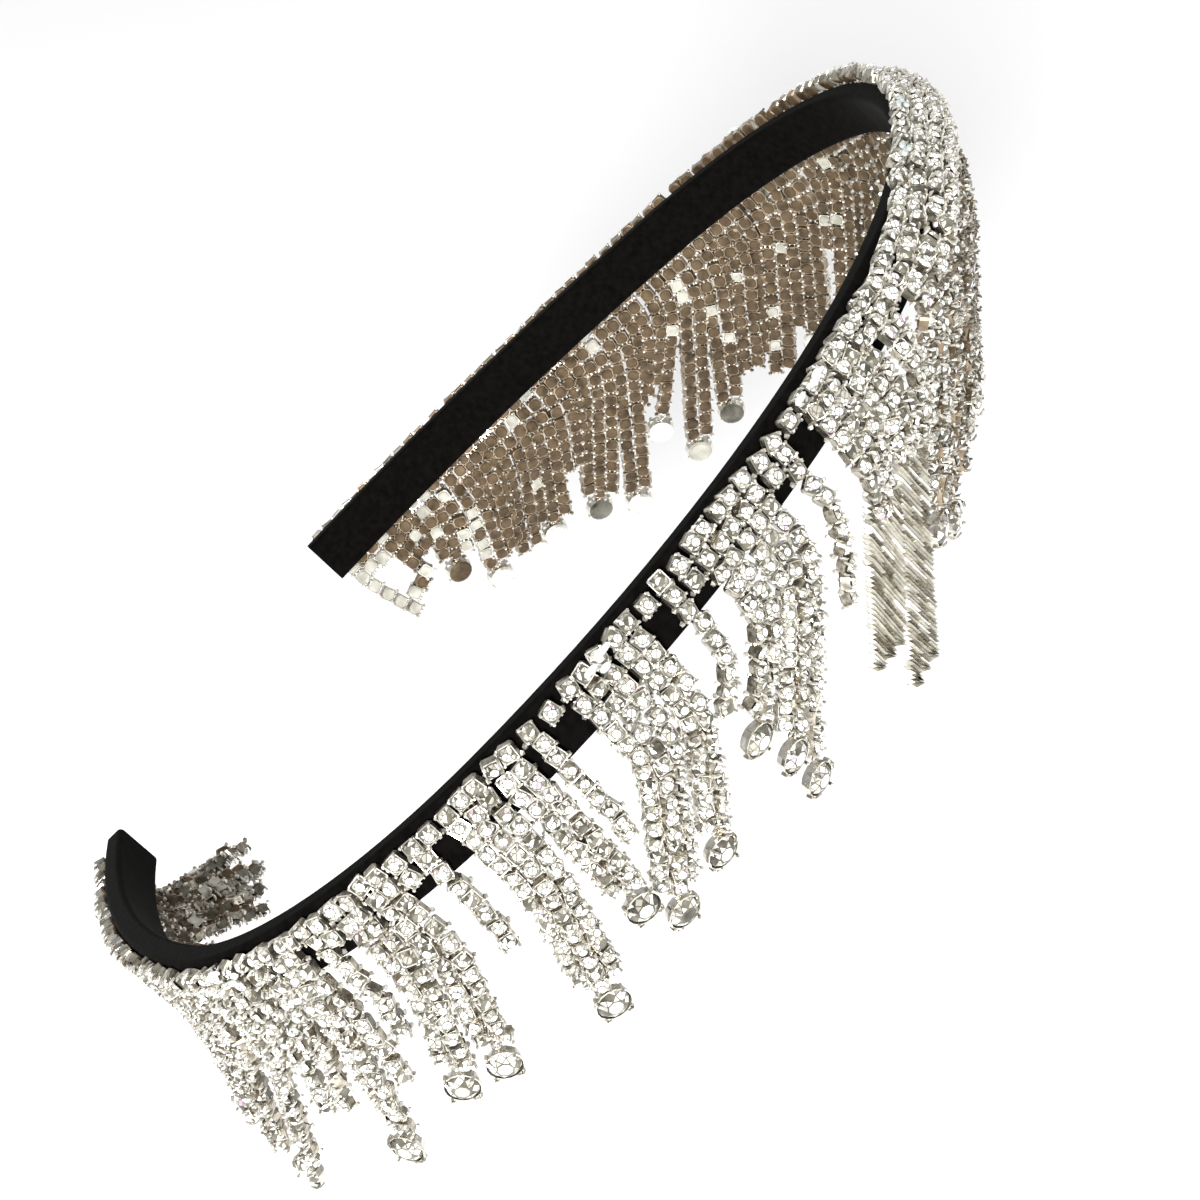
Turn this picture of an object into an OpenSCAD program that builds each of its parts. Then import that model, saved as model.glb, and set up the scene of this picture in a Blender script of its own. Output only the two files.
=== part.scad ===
// Crystal tiara headband: a slim velvet-covered hoop, and on its outer face silver
// cup chain laid across the hoop in long bunches and short tufts that hang below it
// as a fringe. Crystals in claw cups end the long bunches.
// The origin is the middle of the hoop's inner face at the crown, where the hoop sits.
// +Z is up, against gravity, and -Y is the front. The hoop leans back by tilt.
// Places along the hoop are arc lengths on its inner face, from the crown, with
// the wearer's left positive. Each side of the hoop is three arcs that meet smoothly.

/* [Hoop] */
// Width of the hoop, from its upper to its lower edge
band_w = 8; // [7:0.5:9]
// Thickness of the padded hoop
band_t = 3.4; // [3:0.1:4]
// Radius of the rounding along the hoop's edges
edge_r = 0.8; // [0.4:0.1:1.2]
// Inner radius over the crown
crown_r = 96; // [90:1:102]
// Turn of the crown arc on each side, in degrees
crown_deg = 47; // [44:1:50]
// Inner radius of each shoulder
shoulder_r = 51; // [48:1:54]
// Turn of each shoulder arc, in degrees
shoulder_deg = 65; // [62:1:68]
// Inner radius of each limb, down to its free end
limb_r = 165; // [150:5:200]
// Turn of each limb arc, in degrees
limb_deg = 28; // [26:1:30]

/* [Pose] */
// Lean of the hoop: the crown is up and forward, the free ends are down
tilt = 40; // [35:1:45]

/* [Chain] */
// Spacing of the strands of cup chain that lie side by side
strand_w = 2.4; // [2.3:0.05:2.5]
// Depth of the chain, from the cups' backs to the stones
chain_t = 2.3; // [2.1:0.1:2.5]
// Clearance between neighbouring tails of chain on the hoop
side_gap = 0.2; // [0.2:0.05:0.3]
// Clearance between the hoop and the backs of the cups
seat_gap = 0.2; // [0.15:0.05:0.3]
// Distance of the chain's first cups below the upper edge
chain_top = 0.4; // [0.2:0.1:1]
// How much higher the chain stands over the crown and the wearer's left shoulder
crown_rise = 2.9; // [0:0.1:3.5]
// Length over which a strand turns from the hoop's face to plumb
bend_len = 14; // [12:1:16]
// How far the last strands at the wearer's right end curl in under the hoop
end_curl = 1.9; // [0:0.1:2.5]
// How far the chain bulges off the hoop over the crown
crown_bow = 4; // [0:0.1:5]

/* [Crystals] */
// Diameter of the round crystal at the end of a tail
crystal_d = 4.2; // [4:0.1:4.4]
// Wall of the cup that holds it
cup_wall = 0.3; // [0.25:0.05:0.35]
// Height of the cup
cup_h = 1.7; // [1.5:0.1:1.9]
// Radius of a claw
claw_r = 0.26; // [0.2:0.02:0.3]

/* [Hidden] */
$fn = 48;

// Bunches of chain along the hoop, from the wearer's right end to the left end.
// columns of a bunch: place of its edge, droop (0 stiff to 1 plumb), its tails
// columns of a tail: strands, length, sideways lean, 1 with a crystal at its end
bunches = [
    [-213.4, 0.25, [[3, 32, -1.42, 0], [2, 30.5, -0.86, 0]]],
    [-193.5, 0.30, [[2, 25, -0.77, 0], [3, 26, -0.60, 0]]],
    [-173.6, 0.60, [[3, 24, -0.15, 1], [2, 22, -0.10, 1]]],
    [-153.6, 0.80, [[2, 29, -0.30, 1], [3, 38, -0.20, 0]]],
    [-133.7, 0.80, [[2, 38.5, -0.24, 1], [1, 18, -0.05, 0], [1, 27, 0.10, 0]]],
    [-119.6, 0.80, [[1, 29, -0.15, 0], [2, 33, 0.08, 1], [1, 27, 0.17, 0]]],
    [-103.4, 0.90, [[2, 30, 0.04, 1], [2, 30.5, 0.11, 1]]],
    [-86.2, 0.90, [[3, 35, 0.16, 1], [2, 26, 0.30, 1]]],
    [-67.0, 1.00, [[3, 37, -0.04, 1], [2, 34, 0, 1]]],
    [-45.9, 1.00, [[2, 26.5, -0.40, 1], [2, 35, -0.22, 1], [1, 43, -0.16, 1]]],
    [-23.6, 1.00, [[3, 44.5, -0.10, 0], [3, 56, -0.03, 0]]],
    [-1.0, 1.00, [[2, 37.5, -0.20, 1], [2, 43, -0.08, 1], [1, 47, 0.10, 0]]],
    [19.0, 1.00, [[2, 39, -0.12, 1], [3, 42, 0.02, 1]]],
    [38.2, 1.00, [[3, 44, 0, 1], [2, 40, 0.05, 1]]],
    [57.6, 1.00, [[2, 40, 0, 1], [3, 43, 0.05, 1]]],
    [77.0, 1.00, [[3, 46, 0, 0], [2, 39, 0.10, 1]]],
    [96.0, 1.00, [[2, 41, -0.01, 1], [3, 44, 0.06, 1]]],
    [112.4, 1.00, [[3, 41, 0, 1], [2, 46, 0.06, 0]]],
    [132.9, 1.00, [[2, 42, 0, 1], [2, 46, 0.09, 1], [1, 38, 0.30, 1]]],
    [153.1, 1.00, [[2, 45, 0.06, 1], [3, 40.5, 0.16, 1]]],
    [172.1, 1.00, [[3, 34.5, 0.02, 1], [2, 35.5, 0.02, 0]]],
    [189.0, 0.90, [[2, 30.5, -0.05, 1], [3, 22.5, 0.05, 1]]],
    [206.4, 0.35, [[2, 20, -0.40, 0], [2, 22, -0.42, 0]]]
];

// Short tufts between the bunches; each belongs to the fringe section of the
// bunch before it. columns: place of its edge, droop, strands, length, sideways lean
tufts = [
    [-199.6, 0.25, 1, 26, -0.65],
    [-179.8, 0.40, 1, 17, -0.20],
    [-160.0, 0.60, 1, 19, 0],
    [-140.2, 0.80, 1, 20, -0.35],
    [-123.1, 0.80, 1, 18, -0.10],
    [-108.2, 0.80, 1, 20.5, 0.15],
    [-90.9, 0.70, 1, 19.5, 0.16],
    [-73.2, 0.80, 1, 20.5, 0.18],
    [-51.6, 1.00, 1, 21, -0.45],
    [-30.4, 0.90, 1, 26, -0.15],
    [-7.8, 1.00, 2, 24.5, -0.22],
    [13.3, 1.00, 2, 24, 0.02],
    [32.6, 1.00, 2, 23, 0],
    [52.0, 1.00, 2, 25, 0],
    [71.6, 1.00, 2, 24, 0],
    [90.8, 1.00, 1, 22, 0],
    [109.5, 1.00, 1, 28, 0],
    [127.0, 1.00, 2, 40, 0.02],
    [148.2, 1.00, 1, 29.5, 0.19],
    [167.1, 1.00, 2, 28, 0.03],
    [185.4, 0.90, 1, 31.5, 0.02],
    [202.4, 0.70, 1, 16.5, -0.35]
];

// Arc lengths of the crown and shoulder on the inner face, and the arcs' centres
crown_len = crown_r * crown_deg * PI / 180;
shoulder_len = shoulder_r * shoulder_deg * PI / 180;
crown_c = [0, crown_r];
shoulder_c = crown_c + (crown_r - shoulder_r) * [sin(crown_deg), -cos(crown_deg)];
limb_from = crown_deg + shoulder_deg;
limb_c = shoulder_c + (shoulder_r - limb_r) * [sin(limb_from), -cos(limb_from)];

// Heading of the hoop at a place, and the place itself, on the inner face
function heading_at(a) =
    a < crown_len ? a / crown_r * 180 / PI :
    a < crown_len + shoulder_len ? crown_deg + (a - crown_len) / shoulder_r * 180 / PI :
    limb_from + (a - crown_len - shoulder_len) / limb_r * 180 / PI;
function radial(h) = [sin(h), -cos(h)];
function spot_at(a) =
    a < crown_len ? crown_c + crown_r * radial(heading_at(a)) :
    a < crown_len + shoulder_len ? shoulder_c + shoulder_r * radial(heading_at(a)) :
    limb_c + limb_r * radial(heading_at(a));
function side(s) = s < 0 ? -1 : 1;
function spot(s) = let (p = spot_at(abs(s))) [side(s) * p[0], p[1], 0];
function outward(s) = let (h = heading_at(abs(s))) [side(s) * sin(h), -cos(h), 0];
function along(s) = let (h = heading_at(abs(s))) [cos(h), side(s) * sin(h), 0];

// Gravity in the hoop's own frame, before the whole is leaned by tilt
down = [0, sin(tilt), -cos(tilt)];
function unit(v) = v / norm(v);
function ease(x) = let (c = min(max(x, 0), 1)) c * c * (3 - 2 * c);

// The chain's top is higher from rise_from to rise_to, and less so down the left limb
rise_from = 0;
rise_to = 35;
left_from = 60;
left_span = 110;
left_drop = 0.8;
function rise_at(s) =
    crown_rise * ease((s - rise_from) / (rise_to - rise_from))
    * (1 - left_drop * ease((s - left_from) / left_span));

// Over the crown the strands start nearer the hoop by bow_seat, above its rounded edge,
// bulge off it, turn to plumb sooner and hug the head
tuck_from = -15;
tuck_to = 15;
tuck_end = 70;
tuck_fade = 40;
tuck_bend = 3;
hug = 0.01;
bow_len = 14;
bow_seat = 1.75;
function tuck_at(s) =
    ease((s - tuck_from) / (tuck_to - tuck_from)) * (1 - ease((s - tuck_end) / tuck_fade));
function seat_at(s) = bow_seat * tuck_at(s) * rise_at(s) / crown_rise;
function bow_at(s, u) =
    u < bow_len
    ? (seat_at(s) + crown_bow * PI * sin(360 * u / bow_len) * tuck_at(s)) / bow_len : 0;

// A strand lies straight across the hoop, then turns to plumb past the lower edge,
function turn_at(s, u) =
    ease((u - band_w + chain_top - rise_at(s) + 1) / (bend_len - tuck_bend * tuck_at(s)));
// and near the wearer's right end it curls in under the hoop.
curl_from = 188;
curl_span = 25;
function curl_at(s, u) =
    end_curl * ease((-s - curl_from) / curl_span) * ease((u - band_w - 1) / bend_len);
function strand_dir(s, u, droop, lean) =
    let (m = turn_at(s, u))
    unit([0, 0, -1] * (1 - droop * m) + down * droop * m + along(s) * lean * m
         + outward(s) * (bow_at(s, u) - hug * tuck_at(s) * m - curl_at(s, u)));
function walk(p, s, u, step, left, droop, lean) =
    left == 0 ? [p] :
    concat([p], walk(p + step * strand_dir(s, u + step / 2, droop, lean),
                     s, u + step, step, left - 1, droop, lean));

// A tail has a ring about every ring_gap, each ring_steps short steps below the last,
// and its last ring is narrowed by end_close
ring_gap = 5;
ring_steps = 3;
end_close = 0.85;
function tail_rings(len) = max(4, round(len / ring_gap));
function strand_start(s) =
    spot(s) + outward(s) * (band_t + seat_gap + chain_t / 2 - seat_at(s))
    + [0, 0, band_w / 2 - chain_top + rise_at(s)];
function strand_path(s, len, droop, lean) =
    let (n = tail_rings(len) * ring_steps)
    walk(strand_start(s), s, 0, len / n, n, droop, lean);
function width_dir(s, d) = unit(along(s) - (along(s) * d) * d);

// Past the hoop the strands of a tail close up into a thicker rope, a little more
// for each strand after the first
first_low_w = 2.8;
next_low_w = 1.5;
next_low_t = 0.3;
function tail_w(k, u) =
    let (top_w = k * strand_w - side_gap, low_w = first_low_w + (k - 1) * next_low_w)
    top_w + (low_w - top_w) * ease((u - band_w) / bend_len);
function tail_t(k, u) = chain_t + (k - 1) * next_low_t * ease((u - band_w) / bend_len);

// Ring of eight corners round a point of the path, an oblong with cut corners
ring_corner = 0.5;
function ring(p, e, m, w, t) =
    let (a = w / 2, b = t / 2, c = ring_corner)
    [for (q = [[a, b - c], [a - c, b], [c - a, b], [-a, b - c],
               [-a, c - b], [c - a, -b], [a - c, -b], [a, c - b]])
        p + e * q[0] + m * q[1]];

module tail(s, k, len, droop, lean) {
    path = strand_path(s, len, droop, lean);
    rings = tail_rings(len);
    step = len / rings;
    points = [for (i = [0:rings])
        let (u = i * step, d = strand_dir(s, u, droop, lean), e = width_dir(s, d),
             close = i == rings ? end_close : 1)
        each ring(path[i * ring_steps], e, cross(d, e), close * tail_w(k, u),
                  close * tail_t(k, u))];
    sides = [for (i = [0:rings - 1], j = [0:7])
        let (a = i * 8 + j, b = i * 8 + (j + 1) % 8)
        each [[a, b, a + 8], [b, b + 8, a + 8]]];
    ends = [[for (j = [7:-1:0]) j], [for (j = [0:7]) rings * 8 + j]];
    polyhedron(points, concat(sides, ends));
}

// Place of the middle of tail t of bunch b
function strands_before(tails, t) = t == 0 ? 0 : tails[t - 1][0] + strands_before(tails, t - 1);
function tail_place(b, t) =
    b[0] + strand_w * (strands_before(b[2], t) + b[2][t][0] / 2);

// Padded section of the hoop; inset makes a smaller one inside it
module hoop_section(inset = 0) {
    w = band_w / 2 - inset;
    r = edge_r - inset;
    translate([edge_r, -w]) square([band_t - 2 * edge_r, 2 * w]);
    translate([inset, edge_r - band_w / 2]) square([band_t - 2 * inset, band_w - 2 * edge_r]);
    for (x = [edge_r, band_t - edge_r], y = [edge_r - band_w / 2, band_w / 2 - edge_r])
        translate([x, y]) circle(r = r);
}

module hoop_arc(centre, r, from, to, inset = 0) {
    translate([centre[0], centre[1], 0]) rotate([0, 0, from - 90])
        rotate_extrude(angle = to - from) translate([r, 0]) hoop_section(inset);
}

// A hairline seam parts two arcs where they meet, and a short core inside joins them
seam_deg = 0.01;
joint_deg = 0.3;
joint_inset = 0.1;
module joint(centre, r, at) {
    hoop_arc(centre, r, at - joint_deg, at + joint_deg, joint_inset);
}

module band() {
    color([0.06, 0.06, 0.06]) rotate([-tilt, 0, 0]) {
        hoop_arc(crown_c, crown_r, -crown_deg, crown_deg);
        for (flip = [0, 1]) mirror([flip, 0, 0]) {
            hoop_arc(shoulder_c, shoulder_r, crown_deg + seam_deg, limb_from - seam_deg);
            hoop_arc(limb_c, limb_r, limb_from, limb_from + limb_deg);
            joint(crown_c, crown_r, crown_deg);
            joint(limb_c, limb_r, limb_from);
        }
    }
}

// One section of the fringe: a long bunch and the short tuft after it
module fringe(i) {
    bunch = bunches[i];
    color([0.78, 0.78, 0.8]) rotate([-tilt, 0, 0]) {
        for (t = [0:len(bunch[2]) - 1]) {
            row = bunch[2][t];
            tail(tail_place(bunch, t), row[0], row[1], bunch[1], row[2]);
        }
        if (i < len(tufts)) {
            row = tufts[i];
            tail(row[0] + strand_w * row[2] / 2, row[2], row[3], row[1], row[4]);
        }
    }
}

// Round crystal: a flat table, eight crown facets, a girdle and eight facets below
culet_ratio = 0.4;
girdle_sides = 8;
crown_h = 0.8;
pavilion_h = 0.9;
girdle_h = 0.2;
table_ratio = 0.58;
module crystal() {
    r = crystal_d / 2;
    layer = function (z, q) [for (j = [0:girdle_sides - 1])
        [q * cos(j * 360 / girdle_sides), q * sin(j * 360 / girdle_sides), z]];
    points = concat(layer(0, culet_ratio * r), layer(pavilion_h, r),
                    layer(pavilion_h + girdle_h, r),
                    layer(pavilion_h + girdle_h + crown_h, table_ratio * r));
    n = girdle_sides;
    faces = concat([[for (j = [0:n - 1]) j]],
        [for (i = [0:2], j = [0:n - 1])
            [i * n + j, i * n + n + j, i * n + n + (j + 1) % n, i * n + (j + 1) % n]],
        [[for (j = [n - 1:-1:0]) 3 * n + j]]);
    polyhedron(points, faces);
}

// Cup with a floor, a wall, four claws that rise past the crystal's girdle, and a loop
cup_floor = 0.3;
crystal_lift = 0.12;
crystal_side_gap = 0.12;
cup_r = crystal_d / 2 + crystal_side_gap + cup_wall;
claw_h = 2.5;
loop_r = 0.55;
loop_wire = 0.22;
module cup() {
    difference() {
        cylinder(r = cup_r, h = cup_h);
        translate([0, 0, cup_floor]) cylinder(r = cup_r - cup_wall, h = cup_h);
    }
    for (a = [45:90:315]) rotate([0, 0, a])
        translate([cup_r, 0, 0]) cylinder(r = claw_r, h = claw_h);
    translate([0, cup_r + loop_r, cup_h / 2])
        rotate_extrude() translate([loop_r, 0]) circle(r = loop_wire);
}

// Every tail that ends in a crystal, as pairs of bunch and tail
crystal_tails = [for (b = bunches, t = [0:len(b[2]) - 1]) if (b[2][t][3] > 0) [b, t]];

// Turns that carry the axes X, Y, Z onto e, y, m
function turns(e, y, m) = [atan2(y[2], m[2]), -asin(e[2]), atan2(e[1], e[0])];
// The loop of a drop starts this far past the end of its tail
drop_gap = 0.25;
module drop(i) {
    bunch = crystal_tails[i][0];
    t = crystal_tails[i][1];
    row = bunch[2][t];
    s = tail_place(bunch, t);
    path = strand_path(s, row[1], bunch[1], row[2]);
    d = strand_dir(s, row[1], bunch[1], row[2]);
    e = width_dir(s, d);
    m = cross(d, e);
    reach = drop_gap + 2 * loop_r + loop_wire + cup_r;
    rotate([-tilt, 0, 0])
        translate(path[len(path) - 1] + d * reach - m * cup_h / 2)
            rotate(turns(e, -d, m)) {
                color([0.8, 0.8, 0.82]) cup();
                color([0.9, 0.93, 0.95])
                    translate([0, 0, cup_floor + crystal_lift]) crystal();
            }
}

band();
for (i = [0:len(bunches) - 1])
    fringe(i);
for (i = [0:len(crystal_tails) - 1])
    drop(i);
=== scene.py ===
# Crystal tiara headband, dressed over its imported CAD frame: velvet hoop, silver cup
# chain laid across it in bunches and tufts, and crystals in claw cups.
# Lengths are millimetres in the hoop's own frame, as in the part's source, until
# to_row leans them by TILT and turns them into metres. A place is an arc length on the
# hoop's inner face, from the crown, with the wearer's left positive.
import math
import random

import bpy
import numpy as np
from mathutils import Matrix, Vector


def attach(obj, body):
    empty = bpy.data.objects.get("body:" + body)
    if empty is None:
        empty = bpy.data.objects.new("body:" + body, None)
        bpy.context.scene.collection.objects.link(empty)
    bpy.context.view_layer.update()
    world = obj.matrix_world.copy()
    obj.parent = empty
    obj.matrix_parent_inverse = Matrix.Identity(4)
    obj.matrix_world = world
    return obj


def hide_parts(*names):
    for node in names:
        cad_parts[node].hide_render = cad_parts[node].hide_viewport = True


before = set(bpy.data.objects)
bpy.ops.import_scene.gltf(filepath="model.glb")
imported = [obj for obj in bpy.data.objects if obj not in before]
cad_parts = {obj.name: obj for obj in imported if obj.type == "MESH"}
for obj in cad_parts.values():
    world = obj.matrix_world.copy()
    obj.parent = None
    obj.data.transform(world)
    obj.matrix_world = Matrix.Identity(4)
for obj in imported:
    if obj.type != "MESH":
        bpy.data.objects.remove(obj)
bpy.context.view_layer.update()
rng = random.Random(11)
MM = 0.001               # in metres

# The hoop, as in the part's source: its section, then the three arcs of each side
BAND_W = 8.0
BAND_T = 3.4
CROWN_R, CROWN_DEG = 96.0, 47.0
SHOULDER_R, SHOULDER_DEG = 51.0, 65.0
LIMB_R = 165.0
TILT = math.radians(40)

# The chain, as in the part's source
STRAND_W = 2.4           # spacing of strands side by side
CHAIN_T = 2.3            # depth from the cups' backs to the stones
SEAT_GAP = 0.2           # clearance between hoop and cups
CHAIN_TOP = 0.4          # the first cups lie this far below the upper edge
BEND_LEN = 14.0          # length over which a strand turns to plumb
EDGE_NEAR = 1.0          # the turn starts this far above the hoop's lower edge
FIRST_LOW_W, NEXT_LOW_W = 2.8, 1.5   # a tail's width below the bend, by its strands
# the last strands at the right end curl in, from EDGE_NEAR below the hoop
END_CURL, CURL_FROM, CURL_SPAN = 1.9, 188.0, 25.0
# the chain stands higher left of the crown, and again less so down the left limb
CROWN_RISE, RISE_FROM, RISE_TO = 2.9, 0.0, 35.0
LEFT_FROM, LEFT_SPAN, LEFT_DROP = 60.0, 110.0, 0.8
# over the crown it bulges off the hoop, then hugs it and turns sooner, fully so
# between TUCK_TO and TUCK_END
CROWN_BOW, BOW_SEAT, BOW_LEN, HUG = 4.0, 1.75, 14.0, 0.01
TUCK_FROM, TUCK_TO, TUCK_END, TUCK_FADE, TUCK_BEND = -15.0, 15.0, 70.0, 40.0, 3.0

# The crystals at the ends of tails, as in the part's source
CRYSTAL_D = 4.2
CUP_WALL = 0.3
CUP_H = 1.7
CRYSTAL_SIDE_GAP = 0.12
CUP_R = CRYSTAL_D / 2 + CRYSTAL_SIDE_GAP + CUP_WALL
LOOP_R = 0.55
LOOP_WIRE = 0.22
DROP_GAP = 0.25
DROP_REACH = DROP_GAP + 2 * LOOP_R + LOOP_WIRE + CUP_R   # from a tail's end to the middle

# columns of a bunch: place of its edge, droop (0 stiff to 1 plumb), its tails
# columns of a tail: strands, length, sideways lean, 1 with a crystal at its end
BUNCHES = [
    [-213.4, 0.25, [[3, 32, -1.42, 0], [2, 30.5, -0.86, 0]]],
    [-193.5, 0.30, [[2, 25, -0.77, 0], [3, 26, -0.60, 0]]],
    [-173.6, 0.60, [[3, 24, -0.15, 1], [2, 22, -0.10, 1]]],
    [-153.6, 0.80, [[2, 29, -0.30, 1], [3, 38, -0.20, 0]]],
    [-133.7, 0.80, [[2, 38.5, -0.24, 1], [1, 18, -0.05, 0], [1, 27, 0.10, 0]]],
    [-119.6, 0.80, [[1, 29, -0.15, 0], [2, 33, 0.08, 1], [1, 27, 0.17, 0]]],
    [-103.4, 0.90, [[2, 30, 0.04, 1], [2, 30.5, 0.11, 1]]],
    [-86.2, 0.90, [[3, 35, 0.16, 1], [2, 26, 0.30, 1]]],
    [-67.0, 1.00, [[3, 37, -0.04, 1], [2, 34, 0, 1]]],
    [-45.9, 1.00, [[2, 26.5, -0.40, 1], [2, 35, -0.22, 1], [1, 43, -0.16, 1]]],
    [-23.6, 1.00, [[3, 44.5, -0.10, 0], [3, 56, -0.03, 0]]],
    [-1.0, 1.00, [[2, 37.5, -0.20, 1], [2, 43, -0.08, 1], [1, 47, 0.10, 0]]],
    [19.0, 1.00, [[2, 39, -0.12, 1], [3, 42, 0.02, 1]]],
    [38.2, 1.00, [[3, 44, 0, 1], [2, 40, 0.05, 1]]],
    [57.6, 1.00, [[2, 40, 0, 1], [3, 43, 0.05, 1]]],
    [77.0, 1.00, [[3, 46, 0, 0], [2, 39, 0.10, 1]]],
    [96.0, 1.00, [[2, 41, -0.01, 1], [3, 44, 0.06, 1]]],
    [112.4, 1.00, [[3, 41, 0, 1], [2, 46, 0.06, 0]]],
    [132.9, 1.00, [[2, 42, 0, 1], [2, 46, 0.09, 1], [1, 38, 0.30, 1]]],
    [153.1, 1.00, [[2, 45, 0.06, 1], [3, 40.5, 0.16, 1]]],
    [172.1, 1.00, [[3, 34.5, 0.02, 1], [2, 35.5, 0.02, 0]]],
    [189.0, 0.90, [[2, 30.5, -0.05, 1], [3, 22.5, 0.05, 1]]],
    [206.4, 0.35, [[2, 20, -0.40, 0], [2, 22, -0.42, 0]]]
]

# columns of a tuft: place of its edge, droop, strands, length, sideways lean
TUFTS = [
    [-199.6, 0.25, 1, 26, -0.65],
    [-179.8, 0.40, 1, 17, -0.20],
    [-160.0, 0.60, 1, 19, 0],
    [-140.2, 0.80, 1, 20, -0.35],
    [-123.1, 0.80, 1, 18, -0.10],
    [-108.2, 0.80, 1, 20.5, 0.15],
    [-90.9, 0.70, 1, 19.5, 0.16],
    [-73.2, 0.80, 1, 20.5, 0.18],
    [-51.6, 1.00, 1, 21, -0.45],
    [-30.4, 0.90, 1, 26, -0.15],
    [-7.8, 1.00, 2, 24.5, -0.22],
    [13.3, 1.00, 2, 24, 0.02],
    [32.6, 1.00, 2, 23, 0],
    [52.0, 1.00, 2, 25, 0],
    [71.6, 1.00, 2, 24, 0],
    [90.8, 1.00, 1, 22, 0],
    [109.5, 1.00, 1, 28, 0],
    [127.0, 1.00, 2, 40, 0.02],
    [148.2, 1.00, 1, 29.5, 0.19],
    [167.1, 1.00, 2, 28, 0.03],
    [185.4, 0.90, 1, 31.5, 0.02],
    [202.4, 0.70, 1, 16.5, -0.35]
]

# The hoop's line
CROWN_LEN = CROWN_R * math.radians(CROWN_DEG)
SHOULDER_LEN = SHOULDER_R * math.radians(SHOULDER_DEG)
LIMB_FROM = CROWN_DEG + SHOULDER_DEG   # heading where the limb's arc starts


def radial(h):
    """Unit vector outward from an arc's centre at heading h, in the hoop's plane."""
    return np.array([math.sin(math.radians(h)), -math.cos(math.radians(h))])


CROWN_C = np.array([0, CROWN_R])
SHOULDER_C = CROWN_C + (CROWN_R - SHOULDER_R) * radial(CROWN_DEG)
LIMB_C = SHOULDER_C + (SHOULDER_R - LIMB_R) * radial(LIMB_FROM)


def heading(a):
    """Heading in degrees at arc length a from the crown, the same on both sides."""
    if a < CROWN_LEN:
        return math.degrees(a / CROWN_R)
    if a < CROWN_LEN + SHOULDER_LEN:
        return CROWN_DEG + math.degrees((a - CROWN_LEN) / SHOULDER_R)
    return LIMB_FROM + math.degrees((a - CROWN_LEN - SHOULDER_LEN) / LIMB_R)


def place(s):
    """Point on the inner face at place s, with the outward and along directions."""
    a, flip = abs(s), -1 if s < 0 else 1
    h = heading(a)
    if a < CROWN_LEN:
        p = CROWN_C + CROWN_R * radial(h)
    elif a < CROWN_LEN + SHOULDER_LEN:
        p = SHOULDER_C + SHOULDER_R * radial(h)
    else:
        p = LIMB_C + LIMB_R * radial(h)
    h = math.radians(h)
    return (np.array([flip * p[0], p[1], 0]),
            np.array([flip * math.sin(h), -math.cos(h), 0]),
            np.array([math.cos(h), flip * math.sin(h), 0]))


DOWN = np.array([0, math.sin(TILT), -math.cos(TILT)])   # plumb, in the hoop's frame
ROW = np.array([[1, 0, 0],
                [0, math.cos(TILT), math.sin(TILT)],
                [0, -math.sin(TILT), math.cos(TILT)]])


def to_row(points):
    """From the hoop's frame in millimetres to the row frame in metres."""
    return np.asarray(points, float) @ ROW.T * MM


def ease(x):
    """Smooth step: 0 up to x = 0, 1 from x = 1."""
    c = min(max(x, 0.0), 1.0)
    return c * c * (3 - 2 * c)


def unit(v):
    """The vector v at length 1."""
    return v / np.linalg.norm(v)


# The strands' lines
def rise_at(s):
    """How much higher the chain stands over the crown and down the left limb."""
    return (CROWN_RISE * ease((s - RISE_FROM) / (RISE_TO - RISE_FROM))
            * (1 - LEFT_DROP * ease((s - LEFT_FROM) / LEFT_SPAN)))


def tuck_at(s):
    """How fully a strand hangs as over the crown: 1 there, fading to 0 on both sides."""
    return (ease((s - TUCK_FROM) / (TUCK_TO - TUCK_FROM))
            * (1 - ease((s - TUCK_END) / TUCK_FADE)))


def seat_at(s):
    """How far inward a strand starts above the hoop's rounded edge."""
    return BOW_SEAT * tuck_at(s) * rise_at(s) / CROWN_RISE


def bow_at(s, u):
    """Outward slope of a strand u below its start, where it bulges off the hoop."""
    if u >= BOW_LEN:
        return 0.0
    wave = CROWN_BOW * math.pi * math.sin(2 * math.pi * u / BOW_LEN) * tuck_at(s)
    return (seat_at(s) + wave) / BOW_LEN


def strand_dir(s, u, droop, lean):
    """Direction of a strand u below its start: across the hoop, then turning to plumb."""
    _, out, along = place(s)
    tuck = tuck_at(s)
    turn = ease((u - BAND_W + CHAIN_TOP - rise_at(s) + EDGE_NEAR)
                / (BEND_LEN - TUCK_BEND * tuck))
    curl = (END_CURL * ease((-s - CURL_FROM) / CURL_SPAN)
            * ease((u - BAND_W - EDGE_NEAR) / BEND_LEN))
    return unit(np.array([0, 0, -1.0]) * (1 - droop * turn) + DOWN * droop * turn
                + along * lean * turn + out * (bow_at(s, u) - HUG * tuck * turn - curl))


WALK_STEP = 0.25
WALK_PAST = 12           # steps past a strand's end


class Strand:
    """The middle line of a tail: frames at any distance u from its start."""

    def __init__(self, s, length, droop, lean):
        self.s, self.length, self.droop, self.lean = s, length, droop, lean
        spot, out, self.along = place(s)
        p = spot + out * (BAND_T + SEAT_GAP + CHAIN_T / 2 - seat_at(s)) + np.array(
            [0, 0, BAND_W / 2 - CHAIN_TOP + rise_at(s)])
        self.points = [p]
        for i in range(int(length / WALK_STEP) + WALK_PAST):
            p = p + WALK_STEP * strand_dir(s, (i + 0.5) * WALK_STEP, droop, lean)
            self.points.append(p)

    def at(self, u):
        """Point at u, and the directions across, towards the stones' side and down."""
        i = min(int(u / WALK_STEP), len(self.points) - 2)
        f = u / WALK_STEP - i
        p = self.points[i] * (1 - f) + self.points[i + 1] * f
        down = strand_dir(self.s, u, self.droop, self.lean)
        across = unit(self.along - self.along.dot(down) * down)
        return p, across, np.cross(down, across), down


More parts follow.
